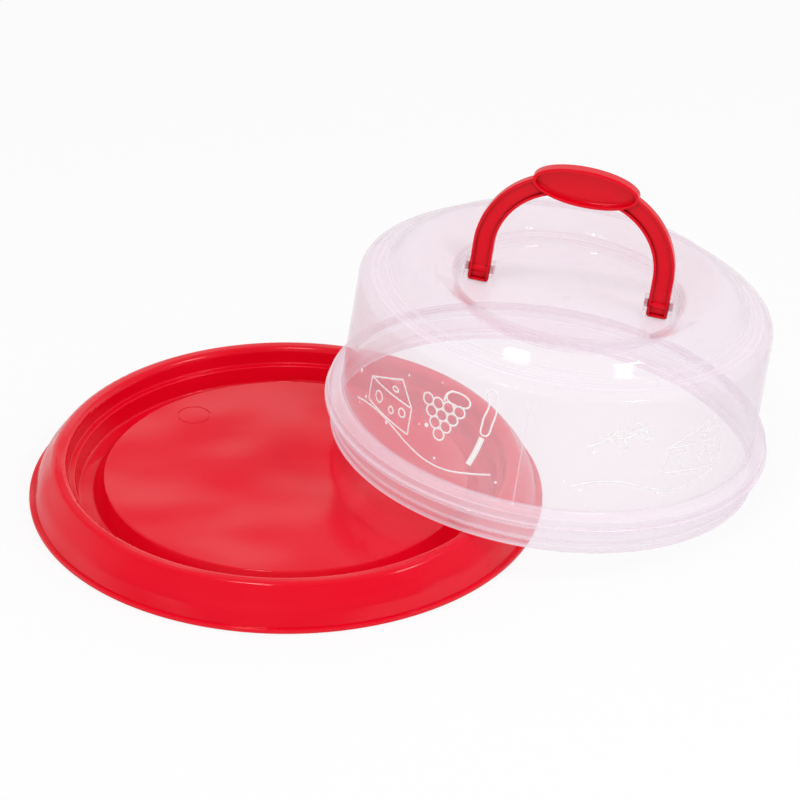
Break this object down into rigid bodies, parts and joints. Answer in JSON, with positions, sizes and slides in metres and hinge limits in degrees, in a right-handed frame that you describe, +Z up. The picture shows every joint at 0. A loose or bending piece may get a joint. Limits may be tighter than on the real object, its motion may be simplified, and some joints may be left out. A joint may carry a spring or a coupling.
{
  "type": "cheese keeper",
  "caption": "Round serving tray with a clear drum-shaped lid that has a swinging carry handle; the lid is off and leans on the tray's rim.",
  "frame": {"origin": "middle of the whole set's footprint, on the table the tray stands on", "axes": "+X from the tray towards the lid beside it, +Y towards the far side, +Z up"},
  "size_m": [0.4756, 0.3502, 0.215],
  "materials": {
    "red_plastic": "glossy moulded red polypropylene",
    "clear_plastic": "thin clear moulded plastic, faintly milky",
    "red_handle_plastic": "glossy moulded red polypropylene"
  },
  "bodies": {
    "tray": {"tray": "red_plastic"},
    "lid": {"lid": "clear_plastic"},
    "handle": {"handle": "red_handle_plastic"}
  },
  "joints": [
    {"name": "lid_lift", "type": "slide", "parent": "tray", "child": "lid", "axis": [0, 0, 1], "range_m": [0, 0.15]},
    {"name": "handle_swing", "type": "hinge", "parent": "lid", "child": "handle", "pos_m": [0.10613, 0.03348, 0.13159], "axis": [0.9767, -0.1806, -0.116], "range_deg": [-78, 78]}
  ]
}
